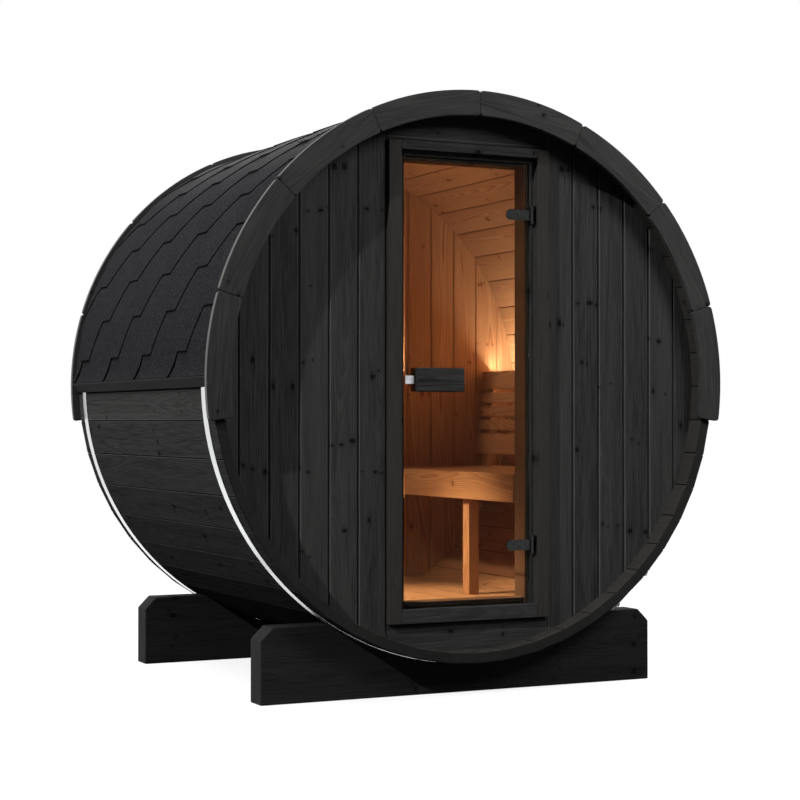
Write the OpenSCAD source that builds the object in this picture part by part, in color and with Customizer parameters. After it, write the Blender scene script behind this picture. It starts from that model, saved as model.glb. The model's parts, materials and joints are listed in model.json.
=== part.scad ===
// Barrel sauna of 48 staves on two cradles, with a shingled roof, a glass door and a bench inside.
// X runs to the right, Y to the back and Z up. The origin is on the ground under the middle.

/* [Barrel] */
// Distance from the barrel's axis to the flat outer face of a stave
barrel_r = 1000; // [850:10:1200]
// Length of the staves
stave_len = 1545; // [1400:5:2400]
// Thickness of a stave
stave_t = 38; // [30:1:48]
// Width that one stave covers on the outer face
stave_cover = 131.8; // [110:0.1:150]
// Radius of the bead on a stave's edge and of the cove that takes it
bead_r = 8; // [5:0.5:9]
// Bevel on a stave's outer long edges
stave_bevel = 3; // [1:0.5:5]
// Height of the barrel's lowest outer face above the ground
ground_gap = 114; // [60:1:250]

/* [Cradles] */
// Length of a cradle across the barrel
cradle_w = 1572; // [1300:2:1800]
// Height that a cradle rises above the barrel's lowest outer face
cradle_rise = 151; // [100:1:200]
// Thickness of a cradle
cradle_t = 96; // [70:1:120]
// Bevel on a cradle's upper corners
cradle_bevel = 45; // [20:1:70]
// Distance from a stave's end to the outer face of the cradle
cradle_set = 107; // [105:1:250]

/* [Bands] */
// Width of a steel band
band_w = 42; // [25:1:44]
// Thickness of a steel band
band_t = 1.5; // [1:0.1:3]
// Distance from a stave's end to the band
band_set = 62; // [45:1:62]
// Angle of the tensioner below the horizontal
tensioner_at = 48; // [30:1:60]
// Length of the threaded rod
rod_len = 222; // [160:2:260]
// Diameter of the threaded rod
rod_d = 12; // [8:1:16]
// Distance from the band to the rod's centre
rod_off = 30; // [20:1:40]
// Angle between the two lugs that the rod draws together
lug_span = 8; // [5:0.5:10]
// Thickness of a lug
lug_t = 6; // [4:0.5:8]
// Width of a lug
lug_w = 30; // [18:1:40]
// Width of a nut across its corners
nut_d = 20; // [14:1:26]
// Thickness of a nut
nut_t = 10; // [6:1:14]

/* [Fascia rings] */
// Distance that a fascia ring stands out past the staves' outer faces
fascia_over = 30; // [25:1:45]
// Radial width of a fascia segment
fascia_w = 90; // [70:1:110]
// Thickness of a fascia segment
fascia_t = 20; // [15:1:30]
// Number of segments in a ring
fascia_n = 8; // [6:1:12]
// Angle that a ring reaches below the horizontal on each side
fascia_below = 8; // [0:0.5:15]
// Radius on the corners of a segment
fascia_round = 12; // [4:1:20]

/* [Roof] */
// Thickness of the shingle covering
roof_t = 7; // [4:0.5:10]
// Width of an eave batten at its top
batten_w = 24; // [15:1:25]
// Height of an eave batten
batten_h = 36; // [25:1:50]
// Width of an eave batten at its foot
batten_foot = 6; // [4:1:12]
// Height of a batten's top above the barrel's axis
batten_top = 8; // [0:1:15]

/* [End walls] */
// Distance from the staves' front ends to the front wall's face
front_recess = 75; // [50:1:120]
// Distance from the staves' back ends to the back wall's face
rear_recess = 40; // [30:1:100]
// Thickness of an end wall
wall_t = 45; // [36:1:60]
// Depth of the groove in the staves that holds an end wall
croze = 10; // [5:0.5:14]

/* [Door frame] */
// Width of the opening in the frame's face
opening_w = 550; // [480:1:640]
// Distance from the barrel's highest inner face down to the opening's head
opening_down = 147; // [120:1:300]
// Height of the opening's foot above the barrel's lowest inner face
opening_up = 157; // [150:1:200]
// Width of a jamb's face
jamb_face = 49; // [40:1:70]
// Height of the head's face
head_face = 33; // [25:1:40]
// Height of the sill's face
sill_face = 50; // [40:1:60]
// Distance that the frame stands in front of the wall
frame_proud = 20; // [5:1:30]
// Depth of the reveal in front of the door
reveal = 28; // [20:1:40]
// Width of the step beside the door
step_w = 18; // [10:1:25]
// Width of the stop behind the door
stop_w = 14; // [12:1:25]
// Height of the sill's stop above the opening's foot
sill_rise = 22; // [12:1:30]
// Distance that the glass stands in front of the step
glass_proud = 2; // [1:0.5:4]
// Depth of the whole frame
frame_d = 115; // [90:1:140]

/* [Door] */
// Thickness of the glass
glass_t = 8; // [6:1:10]
// Gap between the glass and the frame
glass_gap = 6; // [5:0.5:8]
// Width of a handle block
handle_w = 186; // [120:2:240]
// Height of a handle block
handle_h = 85; // [60:1:110]
// Thickness of a handle block
handle_t = 27; // [18:1:30]
// Bevel on the long edges of a handle block
handle_ease = 4; // [1:0.5:8]
// Distance from the glass's free edge to a handle block
handle_in = 40; // [32:1:80]
// Height of the handle's middle above the barrel's axis
handle_at = 4; // [-200:2:200]
// Width of the latch plate
latch_w = 36; // [20:1:38]
// Height of the latch plate
latch_h = 30; // [20:1:40]

/* [Hinges] */
// Height of a hinge's middle above the opening's foot, lower hinge
hinge_low = 213; // [120:1:400]
// Distance from the opening's head down to the upper hinge's middle
hinge_high = 207; // [120:1:400]
// Length of the arm on the glass
arm_len = 86; // [60:1:120]
// Height of the arm
arm_h = 38; // [28:1:50]
// Thickness of the arm
arm_t = 6; // [4:0.5:8]
// Diameter of the hinge pin
pin_d = 8; // [6:0.5:9]
// Outer diameter of a knuckle
knuckle_d = 15; // [13:0.5:17]
// Height of the plate on the jamb
plate_h = 66; // [60:1:90]
// Thickness of the plate on the jamb
plate_t = 3; // [2:0.5:4]
// Distance from the frame's face to the plate
plate_in = 2; // [1:0.5:6]

/* [Floor and bench] */
// Height of the floor's top above the barrel's lowest inner face
floor_up = 148; // [130:1:190]
// Thickness of a floor board
floor_t = 28; // [20:1:35]
// Number of floor boards
floor_n = 8; // [5:1:10]
// Height of a floor bearer
floor_bearer_h = 60; // [40:1:70]
// Width of a bearer under the floor or the bench
bearer_w = 45; // [35:1:60]
// Distance from the barrel's axis to the bench's front
bench_x = 235; // [150:1:330]
// Height of the bench's top above the floor
bench_h = 475; // [420:1:520]
// Height of the bench's front board
apron_h = 104; // [80:1:120]
// Thickness of the bench's front board
apron_t = 24; // [18:1:30]
// Thickness of the seat slats
slat_t = 28; // [20:1:35]
// Gap between the last seat slat and the barrel's inner wall
slat_wall = 15; // [5:1:30]
// Number of seat slats
slat_n = 5; // [4:1:6]
// Height of a bearer under the seat
seat_bearer_h = 60; // [40:1:80]
// Width of the bench leg
leg_w = 44; // [35:1:60]
// Depth of the bench leg along the barrel
leg_d = 51; // [40:1:70]
// Distance from the door frame's back to the leg
leg_set = 386; // [250:2:600]

/* [Backrest] */
// Distance from the barrel's inner wall, at the seat's height, in to the backrest's foot
back_in = 120; // [105:1:160]
// Height of the backrest's foot above the seat
back_up = 55; // [30:1:90]
// Lean of the backrest
back_lean = 5.7; // [0:0.1:10]
// Height of its top board
back_top_h = 78; // [60:1:90]
// Height of a middle slat
back_slat_h = 44; // [35:1:55]
// Number of middle slats
back_slat_n = 3; // [2:1:4]
// Height of its bottom board
back_foot_h = 88; // [60:1:95]
// Gap between its boards
back_gap = 16; // [10:1:20]
// Thickness of its boards
back_t = 20; // [15:1:26]
// Thickness of the posts behind it
post_t = 30; // [20:1:35]
// Width of the posts behind it
post_w = 44; // [30:1:60]
// Side of the square lamp behind its top board
lamp = 26; // [18:1:30]

/* [Clearances] */
// Gap between pieces that seat on each other
seat = 0.3; // [0.2:0.05:0.5]
// Gap round a hinge pin
pin_gap = 0.05; // [0.02:0.01:0.1]
// Gap between a hinge's knuckles
knuckle_gap = 0.5; // [0.3:0.1:1]
// Gap between a turning knuckle and the plate or the glass's plane
knuckle_clear = 1.5; // [1:0.1:2]
// Gap between two boards of the floor or the seat
board_gap = 4; // [2:0.5:8]

/* [Hidden] */
$fn = 96;
barrel_fn = 360;
eps = 1;
stave_deg = stave_cover / barrel_r * 180 / PI;
stave_full = floor(180 / stave_deg);
stave_side = stave_full + (180 - stave_full * stave_deg > stave_deg / 4 ? 1 : 0);
group_n = 6;
axis_h = barrel_r + ground_gap;
inner_r = barrel_r - stave_t;
rim_r = barrel_r / cos(stave_deg / 2);
skin_r = rim_r + 2 * seat + band_t;
fascia_r = barrel_r + fascia_over;
cradle_h = ground_gap + cradle_rise;
front_y = -stave_len / 2;
back_y = stave_len / 2;
croze_r = inner_r + croze;
wall_r = croze_r - seat;

front_face = front_y + front_recess;
front_inner = front_face + wall_t;
rear_face = back_y - rear_recess;
rear_inner = rear_face - wall_t;

foot_z = axis_h - inner_r + opening_up;
head_z = axis_h + inner_r - opening_down;
frame_y = front_face - frame_proud;
frame_back = frame_y + frame_d;
glass_y = frame_y + reveal;
stop_y = glass_y + glass_t + glass_gap;
jamb_x = opening_w / 2 + jamb_face;
step_x = opening_w / 2 - step_w;
stop_x = step_x - stop_w;
frame_low = foot_z - sill_face;
frame_high = head_z + head_face;
glass_x = step_x - glass_gap;
glass_low = foot_z + glass_gap;
glass_high = head_z - step_w - glass_gap;
sill_stop = foot_z + sill_rise;
step_y = glass_y + glass_proud;

hinge_x = opening_w / 2 - plate_t - knuckle_clear - knuckle_d / 2;
hinge_y = glass_y - knuckle_d / 2 - knuckle_clear;
low_z = foot_z + hinge_low;
high_z = head_z - hinge_high;

floor_z = axis_h - inner_r + floor_up;
bench_z = floor_z + bench_h;
slat_reach = inner_half(bench_z - slat_t) - slat_wall;
slat_w = (slat_reach - bench_x - apron_t) / slat_n - board_gap;
back_x = inner_half(bench_z) - back_in;
room_front = frame_back + seat;
room_back = rear_inner - seat;
room_len = room_back - room_front;
leg_y = frame_back + leg_set;

black_stain = "#2c2d2f";
spruce = "#c98a4e";
steel = "#c8cacc";
shingle_grey = "#3b3a40";

// Half the width of the barrel's inside at a height above the ground
function inner_half(z) = sqrt(pow(inner_r, 2) - pow(axis_h - z, 2));

// Lays a profile drawn across the barrel along its length, from y0 to y1
module along(y0, y1)
    translate([0, y1, axis_h])
        rotate([90, 0, 0])
            linear_extrude(y1 - y0)
                children();

// Box given by its lowest and highest corners
module span(low, high)
    translate(low)
        cube(high - low);

// One stave's section between two joints, with the bead on the edge at the lesser angle
module stave_section(a0, a1) {
    half = (a0 - a1) / 2;
    middle = (a0 + a1) / 2;
    edge = seat / 2;
    out_x = barrel_r * tan(half) - edge;
    in_x = inner_r * tan(half) - edge;
    slope = stave_bevel * tan(half);
    bead = (barrel_r - stave_t / 2) * [sin(half), cos(half)];
    rotate(middle - 90)
        difference() {
            union() {
                polygon([
                    [-in_x, inner_r],
                    [in_x, inner_r],
                    [out_x - slope, barrel_r - stave_bevel],
                    [out_x - stave_bevel, barrel_r],
                    [-out_x + stave_bevel, barrel_r],
                    [-out_x + slope, barrel_r - stave_bevel]
                ]);
                translate(bead)
                    circle(bead_r - edge);
            }
            translate([-bead.x, bead.y])
                circle(bead_r + edge);
        }
}

// Angle of the joint number k, counted down from the ridge on the right-hand side
function joint(k) = 90 - min(k * stave_deg, 180);

// A run of staves on one side, with the grooves that hold the end walls
module stave_run(group, right)
    color(black_stain)
        difference() {
            for (k = [group * group_n : min((group + 1) * group_n, stave_side) - 1])
                along(front_y, back_y)
                    if (right)
                        stave_section(joint(k), joint(k + 1));
                    else
                        stave_section(180 - joint(k + 1), 180 - joint(k));
            along(front_face - seat, front_inner + seat)
                circle(croze_r, $fn = barrel_fn);
            along(rear_inner - seat, rear_face + seat)
                circle(croze_r, $fn = barrel_fn);
        }

// One cradle, with its outer face at y and its body towards the middle
module cradle(y0) {
    half = cradle_w / 2;
    color(black_stain)
        difference() {
            translate([0, y0 + cradle_t, 0])
                rotate([90, 0, 0])
                    linear_extrude(cradle_t)
                        polygon([
                            [-half, 0],
                            [half, 0],
                            [half, cradle_h - cradle_bevel],
                            [half - cradle_bevel, cradle_h],
                            [-half + cradle_bevel, cradle_h],
                            [-half, cradle_h - cradle_bevel]
                        ]);
            along(y0 - eps, y0 + cradle_t + eps)
                circle(rim_r + seat, $fn = barrel_fn);
        }
}

module cradle_front()
    cradle(front_y + cradle_set);

module cradle_rear()
    cradle(back_y - cradle_set - cradle_t);

// One steel band, open between its two lugs
module band(y0)
    color(steel)
        translate([0, y0 + band_w, axis_h])
            rotate([90, 0, 0])
                rotate([0, 0, lug_span / 2 - tensioner_at])
                    rotate_extrude(angle = 360 - lug_span, $fn = barrel_fn)
                        translate([rim_r + seat, 0])
                            square([band_t, band_w]);

// Lugs, rod and nuts that close a band, in one welded and screwed unit
module tensioner(y0) {
    rod_r = skin_r + rod_off;
    lug_at = lug_span / 2 + lug_t / rim_r * 180 / PI;
    nut_x = rod_r * tan(lug_at) + lug_t / 2 + nut_t / 2;
    color(steel)
        translate([0, y0 + band_w / 2, axis_h])
            rotate([0, tensioner_at + 90, 0]) {
                for (side = [-1, 1]) {
                    rotate([0, side * lug_at, 0])
                        translate([-lug_t / 2, -lug_w / 2, skin_r])
                            cube([lug_t, lug_w, rod_off + rod_d]);
                    translate([side * nut_x, 0, rod_r])
                        rotate([0, 90, 0])
                            cylinder(h = nut_t, d = nut_d, center = true, $fn = 6);
                }
                translate([0, 0, rod_r])
                    rotate([0, 90, 0])
                        cylinder(h = rod_len, d = rod_d, center = true);
            }
}

module front_band()
    band(front_y + band_set);

module rear_band()
    band(back_y - band_set - band_w);

module front_tensioner()
    tensioner(front_y + band_set);

module rear_tensioner()
    tensioner(back_y - band_set - band_w);

// Outline of one fascia segment from angle a0 to a1, with rounded corners
module fascia_section(a0, a1) {
    steps = 10;
    turn = 4;
    in_r = fascia_r - fascia_w;
    c = fascia_round;
    function corner(r, a, start) = [
        for (i = [0 : turn])
            r * [cos(a), sin(a)] + c * [cos(start + 90 * i / turn), sin(start + 90 * i / turn)]
    ];
    function sweep_angle(r) = c / r * 180 / PI;
    r1 = fascia_r - c;
    r0 = in_r + c;
    b0 = a0 + sweep_angle(r1);
    b1 = a1 - sweep_angle(r1);
    d0 = a0 + sweep_angle(r0);
    d1 = a1 - sweep_angle(r0);
    polygon(concat(
        corner(r1, b0, b0 - 90),
        [for (i = [1 : steps - 1]) let (a = b0 + (b1 - b0) * i / steps) fascia_r * [cos(a), sin(a)]],
        corner(r1, b1, b1),
        corner(r0, d1, d1 + 90),
        [for (i = [1 : steps - 1]) let (a = d1 + (d0 - d1) * i / steps) in_r * [cos(a), sin(a)]],
        corner(r0, d0, d0 + 180)
    ));
}

module fascia_ring(y0) {
    step = (180 + 2 * fascia_below) / fascia_n;
    gap = seat / fascia_r * 90 / PI;
    color(black_stain)
        for (i = [0 : fascia_n - 1])
            along(y0, y0 + fascia_t)
                fascia_section(i * step - fascia_below + gap, (i + 1) * step - fascia_below - gap);
}

module front_fascia()
    fascia_ring(front_y - fascia_t);

module rear_fascia()
    fascia_ring(back_y);

// Covering of shingles over the staves and bands, from one eave batten to the other
module roof_covering() {
    low = asin((batten_top + seat) / skin_r);
    color(shingle_grey)
        translate([0, back_y - seat, axis_h])
            rotate([90, 0, 0])
                rotate([0, 0, low])
                    rotate_extrude(angle = 180 - 2 * low, $fn = barrel_fn)
                        translate([skin_r, 0])
                            square([roof_t, stave_len - 2 * seat]);
}

// Batten that carries the lowest course of shingles
module eave_batten_right() {
    x0 = skin_r;
    color(black_stain)
        along(front_y + seat, back_y - seat)
            polygon([
                [x0, batten_top - batten_h],
                [x0 + batten_foot, batten_top - batten_h],
                [x0 + batten_w, batten_top - batten_foot],
                [x0 + batten_w, batten_top],
                [x0, batten_top]
            ]);
}

module eave_batten_left()
    mirror([1, 0, 0])
        eave_batten_right();

// Part of the front wall between two upright lines and two heights
module front_wall_part(x0, x1, z0, z1)
    color(black_stain)
        intersection() {
            along(front_face, front_inner)
                circle(wall_r, $fn = barrel_fn);
            span([x0, front_face - eps, z0], [x1, front_inner + eps, z1]);
        }

module front_wall_right()
    front_wall_part(jamb_x + seat, barrel_r, axis_h - barrel_r, axis_h + barrel_r);

module front_wall_left()
    front_wall_part(-barrel_r, -jamb_x - seat, axis_h - barrel_r, axis_h + barrel_r);

module front_wall_over_door()
    front_wall_part(-jamb_x, jamb_x, frame_high + seat, axis_h + barrel_r);

module front_wall_under_door()
    front_wall_part(-jamb_x, jamb_x, axis_h - barrel_r, frame_low - seat);

module rear_wall()
    color(black_stain)
        along(rear_inner, rear_face)
            circle(wall_r, $fn = barrel_fn);

// Upright of the frame on the hinge side, with the step for the door and the stop behind it
module hinge_jamb()
    color(black_stain)
        translate([0, 0, frame_low])
            linear_extrude(frame_high - frame_low)
                polygon([
                    [opening_w / 2, frame_y],
                    [jamb_x, frame_y],
                    [jamb_x, frame_back],
                    [stop_x, frame_back],
                    [stop_x, stop_y],
                    [step_x, stop_y],
                    [step_x, step_y],
                    [opening_w / 2, step_y]
                ]);

module latch_jamb()
    mirror([1, 0, 0])
        hinge_jamb();

module door_head()
    color(black_stain) {
        high = frame_high;
        face_x = opening_w / 2 - seat;
        span([-face_x, frame_y, head_z], [face_x, step_y, high]);
        span([seat - step_x, step_y, head_z - step_w], [step_x - seat, stop_y, high]);
        span([seat - stop_x, stop_y, head_z - step_w - stop_w], [stop_x - seat, frame_back, high]);
    }

module door_sill()
    color(black_stain) {
        low = frame_low;
        face_x = opening_w / 2 - seat;
        span([-face_x, frame_y, low], [face_x, step_y, foot_z]);
        span([seat - step_x, step_y, low], [step_x - seat, stop_y, foot_z]);
        span([seat - stop_x, stop_y, low], [stop_x - seat, frame_back, sill_stop]);
    }

// Frameless sheet of the door
module door_glass()
    color("#8a5a35", 0.5)
        span([-glass_x, glass_y, glass_low], [glass_x, glass_y + glass_t, glass_high]);

// Handle block with its long edges eased, from x0 to the right
module handle_block(y0) {
    ease = handle_ease;
    x0 = -glass_x + handle_in;
    color(black_stain)
        translate([x0, y0, axis_h + handle_at - handle_h / 2])
            rotate([90, 0, 90])
                linear_extrude(handle_w)
                    polygon([
                        [ease, 0],
                        [handle_t - ease, 0],
                        [handle_t, ease],
                        [handle_t, handle_h - ease],
                        [handle_t - ease, handle_h],
                        [ease, handle_h],
                        [0, handle_h - ease],
                        [0, ease]
                    ]);
}

module door_handle_outer()
    handle_block(glass_y - handle_t);

module door_handle_inner()
    handle_block(glass_y + glass_t);

module door_latch()
    color(steel)
        span(
            [-glass_x, glass_y - arm_t, axis_h + handle_at - latch_h / 2],
            [-glass_x + latch_w, glass_y, axis_h + handle_at + latch_h / 2]
        );

// Arm on the glass with the bored knuckle that turns on the pin
module hinge_arm(z0)
    color(steel)
        translate([hinge_x, 0, z0 - arm_h / 2])
            difference() {
                union() {
                    translate([-arm_len, glass_y - arm_t, 0])
                        cube([arm_len, arm_t, arm_h]);
                    translate([-arm_len, glass_y, arm_h / 2])
                        rotate([90, 0, 0])
                            cylinder(h = arm_t, d = arm_h);
                    translate([0, hinge_y, 0])
                        cylinder(h = arm_h, d = knuckle_d);
                }
                translate([0, hinge_y, -eps])
                    cylinder(h = arm_h + 2 * eps, d = pin_d + 2 * pin_gap);
            }

// Plate on the jamb with the two outer knuckles and the pin through them
module hinge_plate(z0)
    color(steel) {
        end_h = (plate_h - arm_h) / 2 - knuckle_gap;
        plate_x = opening_w / 2 - plate_t;
        span(
            [plate_x, frame_y + plate_in, z0 - plate_h / 2],
            [plate_x + plate_t - seat, step_y - seat, z0 + plate_h / 2]
        );
        for (z = [z0 - plate_h / 2, z0 + plate_h / 2 - end_h]) {
            translate([hinge_x, hinge_y, z])
                cylinder(h = end_h, d = knuckle_d);
            span([hinge_x, hinge_y - knuckle_d / 4, z], [plate_x + eps, hinge_y + knuckle_d / 4, z + end_h]);
        }
        translate([hinge_x, hinge_y, z0 - plate_h / 2])
            cylinder(h = plate_h, d = pin_d);
    }

module upper_hinge_arm()
    hinge_arm(high_z);

module lower_hinge_arm()
    hinge_arm(low_z);

module upper_hinge_plate()
    hinge_plate(high_z);

module lower_hinge_plate()
    hinge_plate(low_z);

// Clips a piece of the inside to the barrel's round inner wall
module inside()
    intersection() {
        children();
        along(front_y, back_y)
            circle(inner_r - seat, $fn = barrel_fn);
    }

module floor_boards() {
    half = sqrt(pow(inner_r - seat, 2) - pow(axis_h - floor_z, 2));
    pitch = (2 * half + board_gap) / floor_n;
    color(spruce)
        inside()
            for (i = [0 : floor_n - 1])
                span(
                    [-half + i * pitch, room_front, floor_z - floor_t],
                    [-half + (i + 1) * pitch - board_gap, room_back, floor_z]
                );
}

// Middles of the cross bearers along the barrel
bearer_ys = [room_front + bearer_w, leg_y + leg_d / 2, room_back - bearer_w];

module floor_bearers() {
    top = floor_z - floor_t;
    color(spruce)
        inside()
            for (y = bearer_ys)
                span([-barrel_r, y - bearer_w / 2, top - floor_bearer_h], [barrel_r, y + bearer_w / 2, top]);
}

module bench_apron()
    color(spruce)
        span([bench_x, room_front, bench_z - apron_h], [bench_x + apron_t, room_back, bench_z]);

module bench_slats()
    color(spruce)
        for (i = [0 : slat_n - 1]) {
            x0 = bench_x + apron_t + board_gap + i * (slat_w + board_gap);
            span([x0, room_front, bench_z - slat_t], [x0 + slat_w, room_back, bench_z]);
        }

module bench_bearers() {
    top = bench_z - slat_t;
    color(spruce)
        inside()
            for (y = bearer_ys)
                span(
                    [bench_x + apron_t, y - bearer_w / 2, top - seat_bearer_h],
                    [barrel_r, y + bearer_w / 2, top]
                );
}

module bench_leg()
    color(spruce)
        span(
            [bench_x + apron_t, leg_y, floor_z],
            [bench_x + apron_t + leg_w, leg_y + leg_d, bench_z - slat_t - seat_bearer_h]
        );

// Places a piece in the backrest's leaning plane, with Z up its face and X through its thickness
module leaning()
    translate([back_x, 0, bench_z + back_up])
        rotate([0, back_lean, 0])
            children();

back_h = back_foot_h + back_slat_n * (back_slat_h + back_gap) + back_gap + back_top_h;

module backrest_boards()
    color(spruce)
        leaning() {
            span([0, room_front, 0], [back_t, room_back, back_foot_h]);
            for (i = [0 : back_slat_n - 1]) {
                z0 = back_foot_h + back_gap + i * (back_slat_h + back_gap);
                span([0, room_front, z0], [back_t, room_back, z0 + back_slat_h]);
            }
            span([0, room_front, back_h - back_top_h], [back_t, room_back, back_h]);
        }

// Posts that stand on the seat and carry the backrest
module backrest_posts()
    color(spruce)
        intersection() {
            leaning()
                for (y = bearer_ys)
                    span(
                        [back_t, y - post_w / 2, -2 * back_up],
                        [back_t + post_t, y + post_w / 2, back_h - lamp]
                    );
            span([0, front_y, bench_z], [barrel_r, back_y, axis_h + barrel_r]);
        }

// Lamp along the top of the posts, behind the top board
module backrest_lamp()
    color("#ffe2b0")
        leaning()
            span([back_t + seat, room_front, back_h - lamp], [back_t + seat + lamp, room_back, back_h - seat]);

cradle_front();
cradle_rear();
stave_run(0, true);  // staves_right_ridge
stave_run(1, true);  // staves_right_shoulder
stave_run(2, true);  // staves_right_side
stave_run(3, true);  // staves_right_keel
stave_run(0, false);  // staves_left_ridge
stave_run(1, false);  // staves_left_shoulder
stave_run(2, false);  // staves_left_side
stave_run(3, false);  // staves_left_keel
front_band();
rear_band();
front_tensioner();
rear_tensioner();
front_fascia();
rear_fascia();
roof_covering();
eave_batten_right();
eave_batten_left();
front_wall_left();
front_wall_right();
front_wall_over_door();
front_wall_under_door();
rear_wall();
hinge_jamb();
latch_jamb();
door_head();
door_sill();
door_glass();
door_handle_outer();
door_handle_inner();
door_latch();
upper_hinge_arm();
lower_hinge_arm();
upper_hinge_plate();
lower_hinge_plate();
floor_boards();
floor_bearers();
bench_apron();
bench_slats();
bench_bearers();
bench_leg();
backrest_boards();
backrest_posts();
backrest_lamp();
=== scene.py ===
"""Dresses the barrel sauna: boards, shingles, fittings, finishes, light and camera."""

import json
import math
import random

import bmesh
import bpy
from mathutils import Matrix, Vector

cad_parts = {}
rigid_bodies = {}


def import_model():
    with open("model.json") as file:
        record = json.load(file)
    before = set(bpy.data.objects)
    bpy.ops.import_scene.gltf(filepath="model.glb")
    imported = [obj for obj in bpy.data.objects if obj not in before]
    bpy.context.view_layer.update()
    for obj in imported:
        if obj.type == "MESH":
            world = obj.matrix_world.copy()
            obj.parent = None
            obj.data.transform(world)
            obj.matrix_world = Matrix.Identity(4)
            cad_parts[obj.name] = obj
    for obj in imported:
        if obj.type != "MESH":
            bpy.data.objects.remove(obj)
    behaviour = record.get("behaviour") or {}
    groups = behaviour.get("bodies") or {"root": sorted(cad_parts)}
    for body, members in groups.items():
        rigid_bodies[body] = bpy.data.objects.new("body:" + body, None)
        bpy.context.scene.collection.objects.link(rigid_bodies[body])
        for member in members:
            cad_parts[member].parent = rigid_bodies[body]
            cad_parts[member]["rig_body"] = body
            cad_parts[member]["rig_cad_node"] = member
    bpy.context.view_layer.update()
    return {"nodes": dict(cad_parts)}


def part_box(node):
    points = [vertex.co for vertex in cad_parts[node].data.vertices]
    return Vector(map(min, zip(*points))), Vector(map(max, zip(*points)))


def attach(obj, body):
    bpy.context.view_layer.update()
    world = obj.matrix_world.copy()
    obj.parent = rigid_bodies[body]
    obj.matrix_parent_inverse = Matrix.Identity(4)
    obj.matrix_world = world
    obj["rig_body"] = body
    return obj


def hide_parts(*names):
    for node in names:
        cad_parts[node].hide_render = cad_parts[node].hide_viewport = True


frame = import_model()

chance = random.Random(5)
X_AXIS = Vector((1, 0, 0))
Y_AXIS = Vector((0, 1, 0))
Z_AXIS = Vector((0, 0, 1))
QUARTER = math.pi / 2
ALONG_X = (0, QUARTER, 0)
ALONG_Y = (QUARTER, 0, 0)
UP = (0, 1)
DOWN = (1, 0)


def low(node):
    """Lowest corner of a solid."""
    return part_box(node)[0]


def high(node):
    """Highest corner of a solid."""
    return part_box(node)[1]


def middle_y(node):
    """Middle of a solid along the barrel."""
    return (low(node).y + high(node).y) / 2


# Sizes taken from the solids, in metres
AXIS_H = (low("rear_wall").z + high("rear_wall").z) / 2
AXIS = Vector((0, 0, AXIS_H))
WALL_R = high("rear_wall").x
FRONT_FACE = low("front_wall_left").y
REAR_FACE = high("rear_wall").y
STAVE_FRONT = low("staves_left_side").y
STAVE_BACK = high("staves_left_side").y
FASCIA_R = high("front_fascia").z - AXIS_H
FASCIA_T = high("front_fascia").y - low("front_fascia").y
ROOF_TOP = high("roof_covering").z - AXIS_H
EAVE_Z = high("eave_batten_left").z

# Closeness within which points and edges count as the same
NEAR = 0.0001
MERGE = 0.00001
THREAD_MERGE = 0.00002
FLAT_TURN = math.radians(0.4)
PARALLEL = 0.999

# Staves
STAVE_R = 1.0
STAVE_T = 0.038
STAVE_INNER_R = STAVE_R - STAVE_T
INNER_REACH = STAVE_T / 8
STAVE_ARRIS = 0.0018
STAVE_VEE = 0.0045
STAVE_FLAT = 0.0628

# Boards and their eased edges
BOARD_W = 0.111
BOARD_GAP = 0.0012
BOARD_ARRIS = 0.006
BOARD_FLAT = (BOARD_W - BOARD_GAP) / 2 - BOARD_ARRIS
LEAST_BOARD = 1.5 * BOARD_W
CUTTER_SIDES = 240
CUTTER_LEN = 4
TIMBER_ARRIS = 0.0025
FRAME_ARRIS = 0.002
CRADLE_ARRIS = 0.004
LAMP_ARRIS = 0.004
GLASS_ARRIS = 0.0012
HANDLE_ARRIS = 0.0015
LATCH_ARRIS = 0.001
HINGE_ARRIS = 0.0006
BATTEN_SLOPE = 0.012
ARRIS_ANGLE = 40
SMOOTH_ANGLE = 35
FACE_WEIGHT = 100
EASE_STEPS = 2
ROUND_STEPS = 3

# Fascia rings
FASCIA_W = 0.09
FASCIA_COUNT = 8
FASCIA_BELOW = math.radians(8)
FASCIA_TURN = (math.pi + 2 * FASCIA_BELOW) / FASCIA_COUNT
FASCIA_CORNER = 0.012
CORNER_STEPS = 4
FASCIA_ARRIS = 0.003
FASCIA_RIM = FASCIA_R - FASCIA_ARRIS / 3
FASCIA_JOINT = 0.0004
FASCIA_SWEEP = FASCIA_TURN - 2 * FASCIA_JOINT / FASCIA_R
FASCIA_STEPS = 12

# Shingles
ROOF_SKIN = 0.007
ROOF_R = ROOF_TOP - ROOF_SKIN
ROOF_RISE = ROOF_R * QUARTER
ROOF_INSET = 0.001
ROOF_FRONT = STAVE_FRONT + ROOF_INSET
ROOF_BACK = STAVE_BACK - ROOF_INSET
TAB_PITCH = 0.381
TAB_FLAT = 0.1
TAB_SLANT = (TAB_PITCH - 2 * TAB_FLAT) / 2
TAB_START = -0.4905
SPARE_TABS = 2
COURSE = 0.151
FIRST_COURSE = 0.099
STRIP_LEN = 0.34
STRIP_LIFT = 0.0085
STRIP_ROWS = 9
STARTER_ROWS = (24, 1)
STARTER_TONE = 0.5
SHINGLE_T = 0.0042
SHINGLE_ARRIS = 0.0008
SHINGLE_ANGLE = 50
LIP_OUT = 0.013
LIP_LEN = 0.055
EAVE_UP = math.asin((EAVE_Z - AXIS_H) / ROOF_R) * ROOF_R
RIDGE_W = 0.25
RIDGE_STEP = 0.19
CAP_LEN = RIDGE_STEP * 1.6
CAP_LIFT = SHINGLE_T * 1.4
CAP_R = ROOF_R + STRIP_LIFT + SHINGLE_T * 0.6
CAP_ROWS = (10, 2)

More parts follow.
